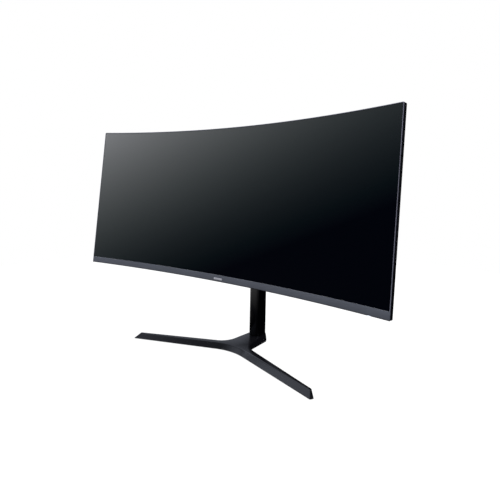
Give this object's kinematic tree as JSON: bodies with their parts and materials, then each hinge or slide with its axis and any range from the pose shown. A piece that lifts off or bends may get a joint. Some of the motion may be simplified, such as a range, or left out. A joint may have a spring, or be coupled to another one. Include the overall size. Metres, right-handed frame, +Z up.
{
  "type": "computer monitor",
  "caption": "Curved ultrawide desktop monitor with a slim bezel, on a V-footed column stand that swivels, lifts and tilts.",
  "frame": {"origin": "on the desk under the axis of the column, at the middle of the rear foot pad", "axes": "+X to the viewer's right, +Y away from the viewer, +Z up"},
  "size_m": [0.814, 0.2441, 0.5497],
  "materials": {
    "screen": "matte anti-glare",
    "sheet": "diffuse",
    "acrylic": "polished",
    "led": "matte",
    "steel": "zinc plated",
    "dark_steel": "satin black",
    "frame": "fine satin",
    "bezel": "satin grey",
    "badge": "brushed",
    "lens": "clear",
    "cover": "spark-eroded texture",
    "board": "solder mask",
    "socket_body": "moulded",
    "joystick": "satin",
    "nylon": "natural nylon",
    "column": "gloss black",
    "stand": "smooth satin black",
    "rubber": "moulded"
  },
  "bodies": {
    "base": {"foot_casting": "stand", "foot_pad_rear": "rubber", "foot_pad_front": "rubber", "foot_pad_left": "rubber", "foot_pad_right": "rubber", "swivel_washer": "nylon"},
    "column": {"column_shell": "column", "column_cap": "column", "lift_rail_left": "steel", "lift_rail_right": "steel", "column_foot": "steel", "swivel_bolt": "steel", "swivel_disc": "steel"},
    "lift": {"lift_carriage": "nylon", "spring_axle": "steel", "spring_coil": "steel", "neck_arm": "dark_steel", "hinge_pin": "steel", "hinge_washer_left": "nylon", "hinge_washer_right": "nylon", "neck_cover": "cover"},
    "head": {"mid_frame": "frame", "chin_bezel": "bezel", "badge": "badge", "power_led_lens": "lens", "lcd_cell": "screen", "optical_sheets": "sheet", "backlight_tray": "steel", "light_guide": "acrylic", "led_strip": "led", "rear_cover": "cover", "chassis_plate": "steel", "main_board": "board", "power_board": "board", "tcon_board": "board", "board_shield": "steel", "hdmi_socket_1": "steel", "hdmi_socket_2": "steel", "displayport_socket": "steel", "usb_uplink_socket": "steel", "usb_socket_1": "steel", "usb_socket_2": "steel", "audio_socket": "socket_body", "power_inlet": "socket_body", "video_plate": "steel", "data_plate": "steel", "power_plate": "steel", "joystick_switch": "socket_body", "mount_screw_1": "steel", "mount_screw_2": "steel", "mount_screw_3": "steel", "mount_screw_4": "steel", "tilt_bracket": "dark_steel"},
    "joystick_gimbal": {"joystick_gimbal": "nylon"},
    "joystick_hub": {"joystick_hub": "nylon"},
    "joystick_cap": {"joystick_cap": "joystick"}
  },
  "joints": [
    {"name": "swivel", "type": "hinge", "parent": "base", "child": "column", "pos_m": [0, 0, 0.013], "axis": [0, 0, 1], "range_deg": [-15, 15]},
    {"name": "height", "type": "slide", "parent": "column", "child": "lift", "axis": [0, 0, 1], "range_m": [-0.1, 0]},
    {"name": "tilt", "type": "hinge", "parent": "lift", "child": "head", "pos_m": [0, -0.06857, 0.35173], "axis": [1, 0, 0], "range_deg": [-13.6, 8.4]},
    {"name": "joystick_updown", "type": "hinge", "parent": "head", "child": "joystick_gimbal", "pos_m": [0.098, -0.10418, 0.3034], "axis": [1, 0, 0], "range_deg": [-6, 6], "stiffness_Nm_per_rad": 0.05},
    {"name": "joystick_sideways", "type": "hinge", "parent": "joystick_gimbal", "child": "joystick_hub", "pos_m": [0.098, -0.10418, 0.3034], "axis": [0, 0.1114, 0.9938], "range_deg": [-6, 6], "stiffness_Nm_per_rad": 0.05},
    {"name": "joystick_press", "type": "slide", "parent": "joystick_hub", "child": "joystick_cap", "axis": [0, -0.9938, 0.1114], "range_m": [0, 0.0008], "stiffness_N_per_m": 1500}
  ]
}
